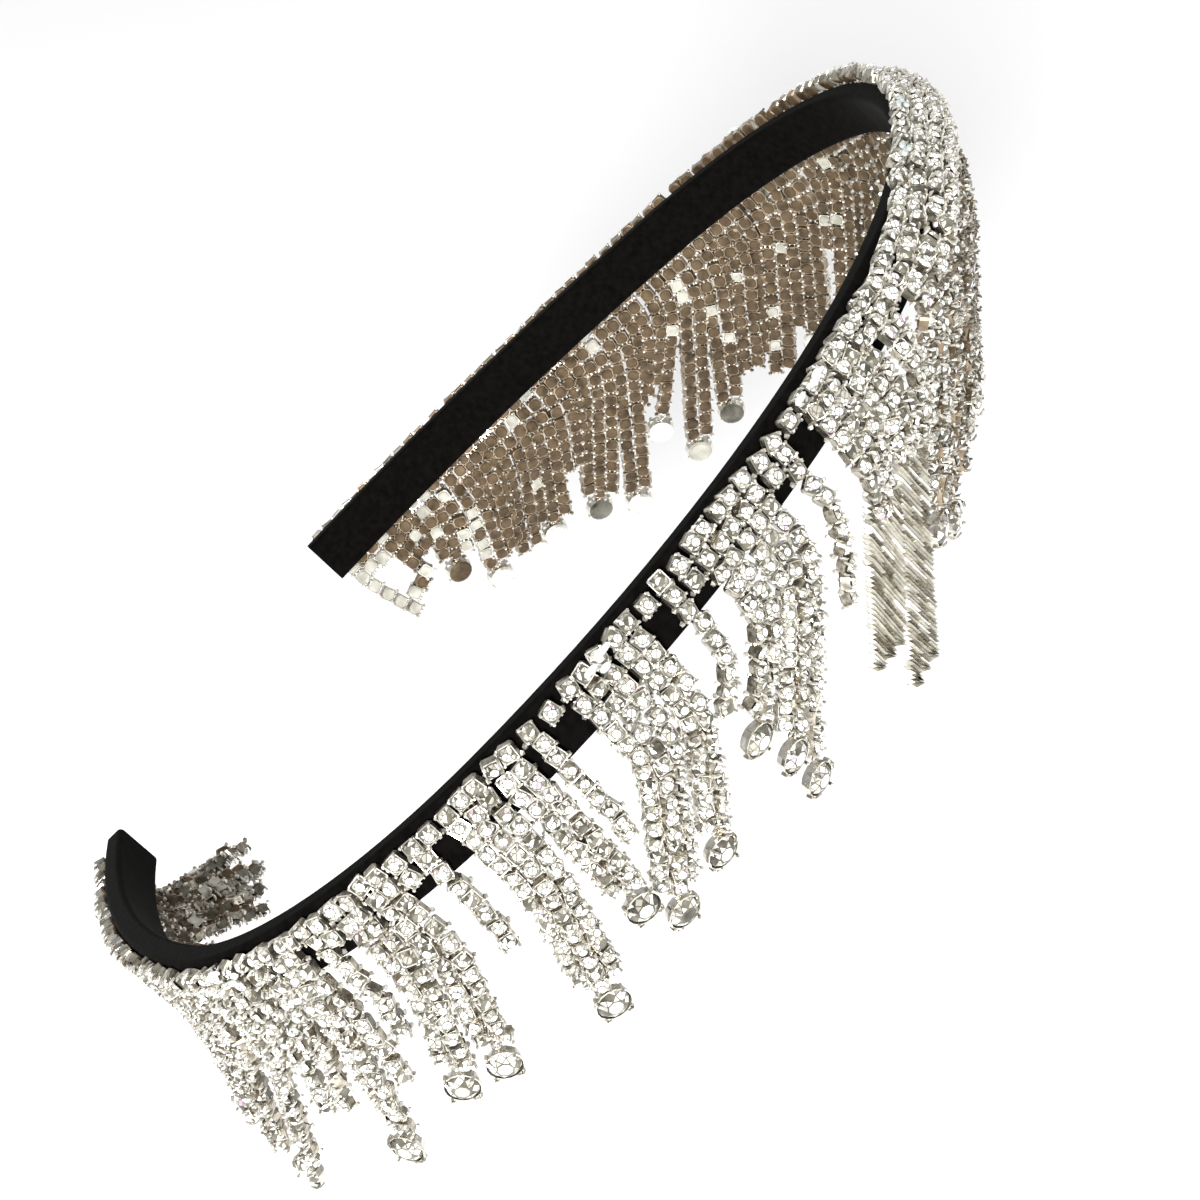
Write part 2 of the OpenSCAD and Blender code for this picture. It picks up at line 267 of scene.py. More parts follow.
def tail_place(bunch, t):
    """Place of the middle of a bunch's tail t."""
    before = sum(row[0] for row in bunch[2][:t])
    return bunch[0] + STRAND_W * (before + bunch[2][t][0] / 2)


# Meshes
class Build:
    """Gathers a piece's points and faces, with a material number for each face."""

    def __init__(self):
        self.points, self.faces, self.mats = [], [], []
        self.count = 0

    def add(self, points, faces, mats):
        base = self.count
        self.points.append(np.asarray(points, float))
        self.count += len(points)
        self.faces.extend([tuple(base + i for i in f) for f in faces])
        self.mats.extend(mats)

    def piece(self, name, materials):
        mesh = bpy.data.meshes.new(name)
        points = to_row(np.concatenate(self.points))
        mesh.from_pydata(points.tolist(), [], self.faces)
        for m in materials:
            mesh.materials.append(m)
        mesh.polygons.foreach_set("material_index", self.mats)
        mesh.update()
        obj = bpy.data.objects.new(name, mesh)
        bpy.context.scene.collection.objects.link(obj)
        return obj


def oblong(hx, hy, cut, z):
    """Eight points round an oblong with cut corners, anticlockwise from above."""
    return [(hx, hy - cut, z), (hx - cut, hy, z), (cut - hx, hy, z), (-hx, hy - cut, z),
            (-hx, cut - hy, z), (cut - hx, -hy, z), (hx - cut, -hy, z), (hx, cut - hy, z)]


def ring(r, z, n, turn=0.0):
    """Round points at height z, turned by a share of the step from one to the next."""
    return [(r * math.cos(2 * math.pi * (j + turn) / n),
             r * math.sin(2 * math.pi * (j + turn) / n), z) for j in range(n)]


def join_rings(a, b, n):
    """Quads from ring a up to ring b; they face outward when b is above a."""
    return [(a + j, a + (j + 1) % n, b + (j + 1) % n, b + j) for j in range(n)]


# Material numbers in a piece of chain, and a stone's faces before they have a finish
# LIGHT, MID, TINT and DARK: painted highlights and reflections on the stones, DARK also
# painted shade
# WALL, UNDER and BACK: the cups' silver in painted shade and painted brown reflection
SILVER, BACK, LIGHT, MID, DARK, TINT, BEAD, GLUE, UNDER, WALL = range(10)
FACET, TABLE = -1, -2


class Template:
    """One part of a unit: points, faces, and each face's material or a stone facet."""

    def __init__(self):
        self.points, self.faces, self.kinds = [], [], []

    def add(self, points, faces, kinds):
        base = len(self.points)
        self.points += [tuple(p) for p in points]
        self.faces += [tuple(base + i for i in f) for f in faces]
        self.kinds += kinds

    def put(self, points, faces, kind):
        self.add(points, faces, [kind] * len(faces))

    def rings(self, points, n, kinds, low, high):
        """A closed solid of rings of n points, each band with its kind, and two caps."""
        faces, face_kinds, last = [], [], len(points) - n
        for i, kind in enumerate(kinds):
            faces += join_rings(i * n, i * n + n, n)
            face_kinds += [kind] * n
        faces += [tuple(range(n - 1, -1, -1)), tuple(range(last, last + n))]
        self.add(points, faces, face_kinds + [low, high])

    def merge(self, other, axes, about):
        """Adds another part, turned about a point to the given axes."""
        self.add(about + (np.array(other.points) - about) @ np.array(axes), other.faces,
                 other.kinds)


def tube(points, radii, sides, turn=0.5):
    """Rings of given radii round a short line of points, with closed ends."""
    rings, faces = [], []
    points = [np.asarray(p, float) for p in points]
    last = len(points) - 1
    for i, p in enumerate(points):
        d = unit(points[min(i + 1, last)] - points[max(i - 1, 0)])
        ref = np.array([0, 0, 1.0] if abs(d[2]) < 0.9 else [1.0, 0, 0])   # well off d
        a = unit(np.cross(ref, d))
        b = np.cross(d, a)
        for j in range(sides):
            t = 2 * math.pi * (j + turn) / sides
            rings.append(p + radii[i] * (a * math.cos(t) + b * math.sin(t)))
    for i in range(last):
        faces += join_rings(i * sides, (i + 1) * sides, sides)
    faces += [tuple(range(sides - 1, -1, -1)), tuple(last * sides + j for j in range(sides))]
    return rings, faces


def turned(x, y, z, about_y=0.0, about_z=0.0, about_x=0.0):
    """Axes turned about themselves, angles in radians."""
    c, s = math.cos(about_y), math.sin(about_y)
    x, z = x * c - z * s, x * s + z * c
    c, s = math.cos(about_z), math.sin(about_z)
    x, y = x * c + y * s, y * c - x * s
    c, s = math.cos(about_x), math.sin(about_x)
    y, z = y * c + z * s, z * c - y * s
    return x, y, z


# Cut stones: x and y across the stone, z up from its flat underside
FACET_GAP = 0.17         # share by which a facet is drawn in; grooves in painted shade part them
FACET_LIFT = 0.03        # and how far it stands above them
SMALL_TABLE_R = 0.6      # the table's radius over the stone's
MID_R, TABLE_R = 0.84, 0.55   # a brilliant's rings, as shares of its radius


def cut_stone(t, corners, flats, base):
    """A closed stone: each flat, a list of corner numbers with its kind, gets a groove
    round it in painted shade; base is its flat underside, in the same dark finish."""
    corners = [np.asarray(c, float) for c in corners]
    points, faces, kinds = list(corners), [tuple(base)], [DARK]
    for flat, kind in flats:
        pts = np.array([corners[i] for i in flat])
        centre = pts.mean(axis=0)
        up = unit(np.cross(pts[1] - pts[0], pts[2] - pts[0]))
        first, n = len(points), len(flat)
        points += list(centre + (pts - centre) * (1 - FACET_GAP) + up * FACET_LIFT)
        faces.append(tuple(range(first, first + n)))
        kinds.append(kind)
        for j in range(n):
            k = (j + 1) % n
            faces.append((flat[j], flat[k], first + k, first + j))
            kinds.append(DARK)
    t.add(points, faces, kinds)


def small_brilliant(t, r, girdle_z, table_z):
    """Sixteen crown facets, and a table in two panes."""
    corners = ring(r, girdle_z, 8) + ring(r * SMALL_TABLE_R, table_z, 8, 0.5)
    flats = [((8, 9, 10, 11, 12), TABLE), ((8, 12, 13, 14, 15), TABLE)]
    for j in range(8):
        k = (j + 1) % 8
        flats += [((j, k, 8 + j), FACET), ((8 + j, k, 8 + k), FACET)]
    cut_stone(t, corners, flats, range(7, -1, -1))


def brilliant(t, r, girdle_z, mid_z, table_z):
    """Sixteen lower, eight kite and eight star facets and a table."""
    corners = (ring(r, girdle_z, 16) + ring(r * MID_R, mid_z, 8, 0.5)
               + ring(r * TABLE_R, table_z, 8))
    flats = [(tuple(range(24, 32)), TABLE)]
    for j in range(8):
        a, b, c = 2 * j, 2 * j + 1, (2 * j + 2) % 16
        mid, mid_before = 16 + j, 16 + (j + 7) % 8
        top, top_after = 24 + j, 24 + (j + 1) % 8
        flats += [((a, b, mid), FACET), ((b, c, mid), FACET),
                  ((mid_before, a, mid, top), FACET), ((mid, top_after, top), FACET)]
    cut_stone(t, corners, flats, range(15, -1, -1))


# One unit of cup chain: x across the strand, y up it, z towards the stone
PITCH = 2.4
CUP = 1.15               # half a cup's width
BASE_Z, RIM_Z = -0.95, 0.25
# the cup's rings, from its back to inside its rim: half sizes, cut of the corners, z
CUP_RINGS = ((0.8, 0.84, 0.42, BASE_Z - 0.16), (0.96, 1.0, 0.46, BASE_Z),
             (CUP - 0.08, CUP - 0.08, 0.3, BASE_Z), (CUP, CUP, 0.3, RIM_Z),
             (CUP - 0.14, CUP - 0.14, 0.3, RIM_Z))
STONE_R = 1.05
STONE_R_VARIES = (0.94, 1.02)
STONE_C = np.array([0, 0, 0.4])     # the point that a stone tips about
STONE_GIRDLE_Z, STONE_TABLE_Z = 0.3, 0.85
STONE_TIP, STONE_TURN = 0.13, 0.8   # in radians
# a claw's foot inside the cup's corner, and its line from there: inward, up, radius
CLAW_IN, CLAW_DEEP = 0.16, 0.3
CLAW = ((0, 0, 0.14), (0.05, 0.8, 0.22), (0.25, 1.12, 0.08))
# the two beads and two wires between a cup and the next
BEAD_X = 1.05
BEAD_LINE = ((-1.32, 0.2), (-0.95, 0.42), (-0.5, 0.14))   # z and radius
WIRE_X, WIRE_Z, WIRE_R, WIRE_IN = 0.4, -0.6, 0.17, 0.3
CLAW_SIDES, BEAD_SIDES, WIRE_SIDES = 5, 5, 4
UNIT_KINDS = 8           # different units, one of them picked for each cup


def cup_unit():
    """A square claw cup with two beads and two wires below it; its stone sits a little
    turned and tipped."""
    t = Template()
    # the cup's back in painted brown reflection, its underside and wall in painted shade,
    # its floor too
    t.rings([p for row in CUP_RINGS for p in oblong(*row)], 8,
            (BACK, UNDER, WALL, SILVER), BACK, DARK)
    stone = Template()
    small_brilliant(stone, STONE_R * rng.uniform(*STONE_R_VARIES), STONE_GIRDLE_Z,
                    STONE_TABLE_Z)
    t.merge(stone, turned(*np.eye(3), about_y=rng.gauss(0, STONE_TIP),
                          about_z=rng.uniform(0, STONE_TURN),
                          about_x=rng.gauss(0, STONE_TIP)), STONE_C)
    for sx, sy in ((1, 1), (-1, 1), (-1, -1), (1, -1)):
        foot = np.array([sx * (CUP - CLAW_IN), sy * (CUP - CLAW_IN), RIM_Z - CLAW_DEEP])
        inward = unit(np.array([-sx, -sy, 0.0]))
        line = [foot + inward * q + [0, 0, z] for q, z, _ in CLAW]
        t.put(*tube(line, [r for _, _, r in CLAW], CLAW_SIDES), BEAD)
    for x in (-BEAD_X, BEAD_X):
        line = [(x, -PITCH / 2, z) for z, _ in BEAD_LINE]
        t.put(*tube(line, [r for _, r in BEAD_LINE], BEAD_SIDES), BEAD)
    for x in (-WIRE_X, WIRE_X):
        line = [(x, WIRE_IN - CUP, WIRE_Z), (x, CUP - WIRE_IN - PITCH, WIRE_Z)]
        t.put(*tube(line, (WIRE_R, WIRE_R), WIRE_SIDES), SILVER)
    return t


UNITS = [cup_unit() for _ in range(UNIT_KINDS)]
UNIT_POINTS = [np.array(t.points) for t in UNITS]

# Finishes of a unit
# odds of a facet in painted highlight and in mid painted reflection, for a bright, a grey
# and a dark stone
STONE_MOODS = ((0.62, 0.22), (0.4, 0.35), (0.2, 0.35))
MOOD_ODDS = (0.6, 0.27, 0.13)
TABLE_LIGHT, TABLE_MID = 0.3, 0.3    # a table gets the painted highlight more often, and mid less often
# odds of a facet in painted pink reflection
TINT_ODDS = 0.006
PALE_ODDS = 0.03                     # odds that a cup has a bright back, a painted highlight
# how much of the left limb's metal stays clear of painted shade: over the hoop, in a tail,
# and in a strand that fills a gap
TOP_SILVER, TAIL_SILVER, FILL_SILVER = 0.5, (0.4, 1.0), -0.3
# how far the darks turn to painted brown reflection down each limb
WARM_FROM, WARM_SPAN = 90.0, 40.0
WARM_LEFT, WARM_RIGHT = 0.75, 0.3
# painted shade: the low part of the fringe left of the crown, and the right limb's end
SHADE, SHADE_FROM, SHADE_TO, SHADE_FADE, SHADE_LOW = 0.72, -8.0, 66.0, 20.0, 7.0
SHADE_RIGHT, SHADE_RIGHT_FROM = 0.45, 130.0
CROWN_DARK = 0.6                     # share of cups over the crown with walls in painted shade
WALL_SHADE = 1.4                     # walls take the painted shade sooner
SILVER_SHADE, BEAD_SHADE = 1.5, 1.6    # and metal takes painted shade sooner on the left limb


def facet_finish(kind, mood, warm, shade):
    """Which painted highlight or reflection a facet shows: the stone's mood sets the odds.
    """
    light, mid = mood
    light *= 1 - shade
    if kind == TABLE:
        light, mid = light + TABLE_LIGHT, mid * TABLE_MID
    r = rng.random()
    if r < light:
        return LIGHT
    if r < light + mid:
        return MID
    if r > 1 - TINT_ODDS:
        return TINT
    return BACK if rng.random() < warm else DARK


def finishes(kinds, warm, shade):
    """Material numbers of a copy of a template, its stone in a mood of its own; warm is
    the share of its dark facets in painted brown reflection, shade how many fewer take the
    painted highlight."""
    mood = rng.choices(STONE_MOODS, MOOD_ODDS)[0]
    return [facet_finish(k, mood, warm, shade) if k < 0 else k for k in kinds]


def shade_at(s, u):
    """How much painted shade a cup takes at place s, u down its strand."""
    side = ease((s - SHADE_FROM) / SHADE_FADE) * (1 - ease((s - SHADE_TO) / SHADE_FADE))
    return (SHADE * side * ease((u - SHADE_LOW) / SHADE_LOW)
            + SHADE_RIGHT * ease((-s - SHADE_RIGHT_FROM) / SHADE_FADE))


def metal_changes(s, warm, shade, pale, silver):
    """Which of one cup's metal finishes give way to painted shade, painted brown reflection,
    or a painted highlight on its back.
    """
    swap = {WALL: DARK} if rng.random() < CROWN_DARK * tuck_at(s) else {}
    if rng.random() < max(warm, WALL_SHADE * shade):
        swap[WALL] = rng.choice((UNDER, UNDER, BACK)) if s > SHADE_FROM else DARK
    left_shade = warm * (1 - silver) * (s > 0)
    if rng.random() < max(shade, SILVER_SHADE * left_shade):
        swap[SILVER] = rng.choice((WALL, UNDER))
    if rng.random() < max(shade, BEAD_SHADE * left_shade):
        swap[BEAD] = WALL
    if rng.random() < pale:
        swap = {BACK: MID, UNDER: SILVER}
    return swap


def lay_unit(build, s, p, axes, scale=1.0, pale=PALE_ODDS, u=0.0, silver=TOP_SILVER):
    """Copies a unit of the strand at place s to point p; pale are the odds of a bright
    back in painted highlight, u how far down its strand it lies, silver how much of its
    metal stays clear of painted shade."""
    i = rng.randrange(len(UNITS))
    pts = p + (UNIT_POINTS[i] * scale) @ np.array(axes)
    warm = (WARM_LEFT if s > 0 else WARM_RIGHT) * ease((abs(s) - WARM_FROM) / WARM_SPAN)
    shade = shade_at(s, u)
    kinds = finishes(UNITS[i].kinds, max(warm, shade), shade)
    swap = metal_changes(s, warm, shade, pale, silver)
    build.add(pts, UNITS[i].faces, [swap.get(k, k) for k in kinds])


# Tails of strands
FAN = math.radians(34)   # strands of a tail turn apart by this below the hoop
STEP_BACK = 0.25         # and lie this much in front of or behind each other
SPREAD = 0.3             # and stand this much further apart than in the CAD tail
# and as much more left of the crown and near the right end
SPREAD_END, SPREAD_FROM, SPREAD_SPAN, SPREAD_RIGHT_SPAN = 0.25, 20, 30, 10
TWIST = 22               # a tail turns by up to this, in degrees
SHIFT = 0.2              # a strand is shifted along its tail by up to this
LOOSE = 0.13             # how far a cup strays from its place
SLOPPY = 0.19            # and by how much it is turned, in radians
ORDER_FROM, ORDER_SPAN, ORDER = 85.0, 30.0, 0.6   # the left limb's chain lies straighter
MIN_CUPS = 3             # in a strand

# a ribbon of cups seen edge-on: slanting ridges right across a tail
RIDGE = (1.37, 0.46, 0.8)   # half its length, width and depth
RIDGE_PITCH, RIDGE_VARIES = 0.82, (0.85, 1.15)
RIDGE_STEP = 2.7            # across, from one strand's piece of a ridge to the next
RIDGE_SLOPE = 1.4
RIDGE_STRAY = 0.08          # how far a ridge strays forward or back
RIDGE_PRESS = 0.1           # share left of what would pass the ribbon's end
RIDGE_PAST = 1.0            # a ridge's middle may pass the ribbon's ends by this
RIDGE_CREST = 0.1           # how far the crest lies off the middle
RIDGE_TONES = (BEAD, BEAD, SILVER, LIGHT, LIGHT, MID)


def lay_ridge(build, p, axes, tone, low):
    """One ridge at p; what would lie below low, the ribbon's end, is pressed up to it."""
    hx, hy, hz = RIDGE
    pts = np.array([(sx * hx, cy - sx * hx * RIDGE_SLOPE, cz) for sx in (-1, 1)
                    for cy, cz in ((hy, 0), (RIDGE_CREST, hz), (-hy, 0), (0, -hz))])
    pts[:, 1] = np.where(pts[:, 1] < low, low + (pts[:, 1] - low) * RIDGE_PRESS, pts[:, 1])
    faces = [(j, (j + 1) % 4, 4 + (j + 1) % 4, 4 + j) for j in range(4)]
    # upper face in the ridge's tone, lower face at times in painted shade, back faces in the
    # cups' shaded finishes
    build.add(p + pts @ np.array(axes), faces + [(3, 2, 1, 0), (4, 5, 6, 7)],
              [tone, rng.choice((tone, MID, WALL)), UNDER, WALL, tone, tone])


def lay_ribbon(build, line, strands, start):
    """Ridges from start to the end of a tail's line."""
    reach = strands / 2 * RIDGE_STEP * RIDGE_SLOPE
    u = start - reach
    while u < line.length + reach:
        tone = rng.choice(RIDGE_TONES)
        for k in range(strands):
            side = k - (strands - 1) / 2
            at = u + side * RIDGE_STEP * RIDGE_SLOPE
            if start - RIDGE_PAST < at < line.length + RIDGE_PAST:
                p, across, facing, down = line.at(at)
                p = p + across * side * RIDGE_STEP + facing * rng.gauss(0, RIDGE_STRAY)
                lay_ridge(build, p, (across, -down, facing),
                          rng.choice((tone, tone, tone, tone, BEAD)), at - line.length)
        u += RIDGE_PITCH * rng.uniform(*RIDGE_VARIES)


def lay_tail(build, s, strands, length, droop, lean, start=0.0, end=math.inf, size=1.0,
             pale=PALE_ODDS, hole=(), silver=None):
    """Cups from start to end of a tail, and a ribbon past the end; hole lists (strand,
    first cup, cup past the last) to leave out."""
    line = Strand(s, length, droop, lean)
    count = max(MIN_CUPS, round(length / (PITCH * size)))
    pitch = length / count
    calm = 1 - ORDER * ease((s - ORDER_FROM) / ORDER_SPAN)
    if silver is None:
        silver = rng.uniform(*TAIL_SILVER)
    twist = math.radians(rng.uniform(-TWIST, TWIST)) * calm
    spread = SPREAD + SPREAD_END * (ease((s - SPREAD_FROM) / SPREAD_SPAN)
                                    + ease((-s - CURL_FROM) / SPREAD_RIGHT_SPAN))
    low_gap = ((FIRST_LOW_W + (strands - 1) * NEXT_LOW_W - 2 * CUP) / max(1, strands - 1)
               + spread)
    for k in range(strands):
        side = k - (strands - 1) / 2
        shift = rng.uniform(-SHIFT, SHIFT) * calm + (0.5 * pitch if k % 2 else 0)
        for i in range(count):
            u = (i + 0.5) * pitch
            if not start < u < end or any(k == a and b <= i < c for a, b, c in hole):
                continue
            low = ease((u - BAND_W) / BEND_LEN)
            p, across, facing, down = line.at(max(0.0, u + shift * low))
            a = twist * low
            x = across * math.cos(a) - facing * math.sin(a)
            z = facing * math.cos(a) + across * math.sin(a)
            p = (p + x * side * (STRAND_W * (1 - low) + low_gap * low)
                 + z * STEP_BACK * (1 if k % 2 else -1) * (strands > 1) * low
                 + np.array([rng.gauss(0, LOOSE * calm) for _ in range(3)]))
            axes = turned(x, -down, z,
                          about_y=side * FAN * low * calm + rng.gauss(0, SLOPPY * calm),
                          about_z=rng.gauss(0, SLOPPY * calm),
                          about_x=rng.gauss(0, SLOPPY * calm))
            lay_unit(build, s, p, axes, min(size, pitch / PITCH), pale, u, silver)
    if end < length:
        lay_ribbon(build, line, strands, end)


# Cups and glue between the tops of the tails
BRIDGE_MIN = 1.4         # narrower gaps stay open
BRIDGE_LIFT = 0.35       # a bridging cup stands out this much further
BRIDGE_TOPS = (1.4, 3.9)   # its two rows, below a strand's start
BRIDGE_SECOND = 0.35     # odds of a second row away from the crown
BRIDGE_OVER = 0.3        # how much wider than its share of the gap a cup may be
FILL_FROM = 20           # past this place narrow strands fill the gaps below the hoop
FILL_START = 5.0
FILL_MIN = 0.9           # narrower ones stay open
FILL_OVER = 0.5          # how much wider than the gap their cups may be
GLUE_SIZE = (1.1, 0.5, 0.3)
GLUE_TOP = 0.6           # the top's share of a run's length and width
GLUE_SIDES = 8
GLUE_RUNS, GLUE_STRAY, GLUE_WIDE = 3, 2.5, (0.7, 1.4)


def lay_bridges(build, a, b, droop):
    """Cups over the hoop between places a and b, one row, and two over the crown."""
    if b - a < BRIDGE_MIN:
        return
    s = (a + b) / 2
    line = Strand(s, BAND_W, droop, 0)
    cups = max(1, int((b - a) / (2 * CUP)))
    step = (b - a) / cups
    for row, u in enumerate(BRIDGE_TOPS):
        if row and not tuck_at(s) and rng.random() > BRIDGE_SECOND:
            continue
        p, across, facing, down = line.at(u)
        for j in range(cups):
            q = p + across * ((j + 0.5) * step - (b - a) / 2) + facing * BRIDGE_LIFT
            axes = turned(across, -down, facing, about_z=rng.gauss(0, SLOPPY))
            lay_unit(build, s, q, axes, min(1.0, (step + BRIDGE_OVER) / (2 * CUP)))


def fill_gap(build, a, b, length, droop, lean):
    """One narrow strand in the gap between two tails, below the hoop."""
    if a > FILL_FROM and b - a > FILL_MIN:
        lay_tail(build, (a + b) / 2, 1, length, droop, lean, start=FILL_START,
                 size=min(1.0, (b - a + FILL_OVER) / (2 * CUP)), pale=0, silver=FILL_SILVER)


def lay_glue(build, s):
    """A few thin clear runs of glue over the stones round place s."""
    for _ in range(GLUE_RUNS):
        at = s + rng.uniform(-GLUE_STRAY, GLUE_STRAY)
        u, wide = rng.uniform(0, GLUE_STRAY), rng.uniform(*GLUE_WIDE)
        p, across, facing, down = Strand(at, BAND_W, 1, 0).at(u)
        hx, hy, hz = GLUE_SIZE
        n = GLUE_SIDES
        pts = np.array(ring(1, 0, n) + ring(GLUE_TOP, 1, n)) * (hx * wide, hy, hz)
        faces = join_rings(0, n, n) + [tuple(range(n, 2 * n)), tuple(range(n - 1, -1, -1))]
        build.add(p + facing * (CHAIN_T / 2) + pts @ np.array([across, -down, facing]),
                  faces, [GLUE] * len(faces))


# Materials
BUMP_DEPTH = 0.0002      # in metres
RAMP_LOW, RAMP_HIGH = 0.3, 0.7   # the noise at a finish's dark and light colours


def new_material(name):
    m = bpy.data.materials.new(name)
    m.use_nodes = True
    nodes, links = m.node_tree.nodes, m.node_tree.links
    return m, nodes, links, nodes["Principled BSDF"]


def noise_ramp(nodes, links, scale, stops, detail=3.0):
    """Noise at a scale in 1/metre, through a ramp of (place, colour) stops."""
    co = nodes.new("ShaderNodeTexCoord")
    tex = nodes.new("ShaderNodeTexNoise")
    tex.inputs["Scale"].default_value = scale
    tex.inputs["Detail"].default_value = detail
    ramp = nodes.new("ShaderNodeValToRGB")
    for stop, (at, colour) in zip(ramp.color_ramp.elements, stops):
        stop.position = at
        stop.color = (*colour, 1)
    links.new(co.outputs["Object"], tex.inputs["Vector"])
    links.new(tex.outputs["Fac"], ramp.inputs["Fac"])
    return tex, ramp


def bump(nodes, links, shader, tex, strength):
    """Bumps of a strength from the noise tex."""
    b = nodes.new("ShaderNodeBump")
    b.inputs["Strength"].default_value = strength
    b.inputs["Distance"].default_value = BUMP_DEPTH
    links.new(tex.outputs["Fac"], b.inputs["Height"])
    links.new(b.outputs["Normal"], shader.inputs["Normal"])


def rough_from(nodes, links, shader, tex, low, high):
    """Roughness from low to high with the noise tex."""
    r = nodes.new("ShaderNodeMapRange")
    r.inputs["To Min"].default_value = low
    r.inputs["To Max"].default_value = high
    links.new(tex.outputs["Fac"], r.inputs["Value"])
    links.new(r.outputs["Result"], shader.inputs["Roughness"])


def surface(name, dark, light, scale, metallic, rough, specular=0.5, coat=0.0,
            bump_by=0.0, transmission=0.0, ior=1.5):
    """A finish whose colour and roughness wander a little between two values."""
    m, nodes, links, shader = new_material(name)
    tex, ramp = noise_ramp(nodes, links, scale, [(RAMP_LOW, dark), (RAMP_HIGH, light)])
    links.new(ramp.outputs["Color"], shader.inputs["Base Color"])
    rough_from(nodes, links, shader, tex, *rough)
    shader.inputs["Metallic"].default_value = metallic
    shader.inputs["Specular IOR Level"].default_value = specular
    shader.inputs["Coat Weight"].default_value = coat
    shader.inputs["Transmission Weight"].default_value = transmission
    shader.inputs["IOR"].default_value = ior
    if bump_by:
        bump(nodes, links, shader, tex, bump_by)
    return m


def velvet():
    """Black pile: almost no gloss, a little sheen, and a fine bump."""
    m, nodes, links, shader = new_material("velvet_black")
    tex, ramp = noise_ramp(nodes, links, 900, [(0.25, (0.0012, 0.0012, 0.001)),
                                               (0.75, (0.0045, 0.004, 0.0034))], 6.0)
    links.new(ramp.outputs["Color"], shader.inputs["Base Color"])
    shader.inputs["Roughness"].default_value = 0.92
    shader.inputs["Specular IOR Level"].default_value = 0.02
    shader.inputs["Sheen Weight"].default_value = 0.012
    shader.inputs["Sheen Roughness"].default_value = 0.4
    bump(nodes, links, shader, tex, 0.5)
    return m


CHAIN_MATS = [None] * 10
CHAIN_MATS[SILVER] = surface("cup_silver", (0.55, 0.52, 0.45), (0.88, 0.85, 0.78), 900,
                             metallic=1.0, rough=(0.15, 0.35))
# the cups' backs: the brown is painted reflection of brown surroundings
CHAIN_MATS[BACK] = surface("cup_back_brown_reflection", (0.04, 0.026, 0.012), (0.13, 0.088, 0.048), 500,
                           metallic=0.3, rough=(0.3, 0.5), specular=0.3)
# painted highlight on stone facets
CHAIN_MATS[LIGHT] = surface("stone_glint", (0.7, 0.69, 0.65), (0.93, 0.92, 0.885), 400,
                            metallic=0.0, rough=(0.02, 0.08), specular=0.8, coat=0.4)
# painted reflection in mid tones on stone facets
CHAIN_MATS[MID] = surface("stone_mid_reflection", (0.3, 0.287, 0.235), (0.62, 0.6, 0.525), 400,
                          metallic=0.2, rough=(0.04, 0.12))
# painted dark reflection on facets, and painted shade in grooves and cup floors
CHAIN_MATS[DARK] = surface("stone_dark_reflection_shade", (0.03, 0.028, 0.02), (0.19, 0.178, 0.138), 500,
                           metallic=0.0, rough=(0.05, 0.15), specular=0.4)
# painted pink reflection on a few facets
CHAIN_MATS[TINT] = surface("stone_pink_reflection", (0.55, 0.32, 0.42), (0.8, 0.6, 0.72), 300,
                           metallic=0.2, rough=(0.04, 0.12))
CHAIN_MATS[BEAD] = surface("claw_silver", (0.64, 0.615, 0.54), (0.95, 0.925, 0.86), 1200,
                           metallic=0.8, rough=(0.2, 0.4))
CHAIN_MATS[GLUE] = surface("clear_glue", (0.72, 0.8, 0.78), (0.92, 0.96, 0.94), 250,
                           metallic=0.0, rough=(0.15, 0.4), coat=0.3, bump_by=0.3,
                           transmission=0.45, ior=1.45)
# the cups' undersides: painted shade and painted brown reflection on the silver
CHAIN_MATS[UNDER] = surface("cup_under_shade_reflection", (0.14, 0.095, 0.055), (0.42, 0.33, 0.235), 500,
                            metallic=0.5, rough=(0.25, 0.45), specular=0.4)
# the cups' walls: the silver in painted shade
CHAIN_MATS[WALL] = surface("cup_wall", (0.14, 0.115, 0.08), (0.62, 0.58, 0.49), 1300,
                           metallic=0.9, rough=(0.18, 0.35))
VELVET = velvet()
for material_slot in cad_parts["band"].material_slots:
    material_slot.material = VELVET


# Fringe
RIBBONS = {11: 20}       # bunches that turn to ribbon past this length
GLUED = {2: 3, 6: -2, 9: 5, 11: 3, 13: 8, 14: 4, 16: 6, 18: 7}   # bunch: place past its edge
PALE = {1: 0.25, 22: 0.3, 23: 0.6}   # bunches whose cups more often show backs in painted highlight
HOLES = {(23, 0): ((1, 5, 7),), (23, 1): ((0, 5, 8),)}   # a loop near the left end
# strands between two tails: bunch: place, droop, strands, length, lean, start
BETWEEN = {1: ((-206.2, 0.25, 2, 31, -1.14, 11), (-213.8, 0.25, 2, 26, -2.2, 9),
               (-214.5, -0.6, 2, 31, -3, 9))}


def lay_tuft(build, bunch, tuft, following):
    """The tuft after a bunch, with what fills the gaps on both sides of it."""
    edge, droop, strands, length, lean = tuft
    before = bunch[0] + STRAND_W * sum(row[0] for row in bunch[2])
    past = edge + STRAND_W * strands
    lay_tail(build, edge + STRAND_W * strands / 2, strands, length, droop, lean)
    lay_bridges(build, before, edge, droop)
    lay_bridges(build, past, following[0], droop)
    fill_gap(build, before, edge, length, droop, (lean + bunch[2][-1][2]) / 2)
    fill_gap(build, past, following[0], length, droop, (lean + following[2][0][2]) / 2)


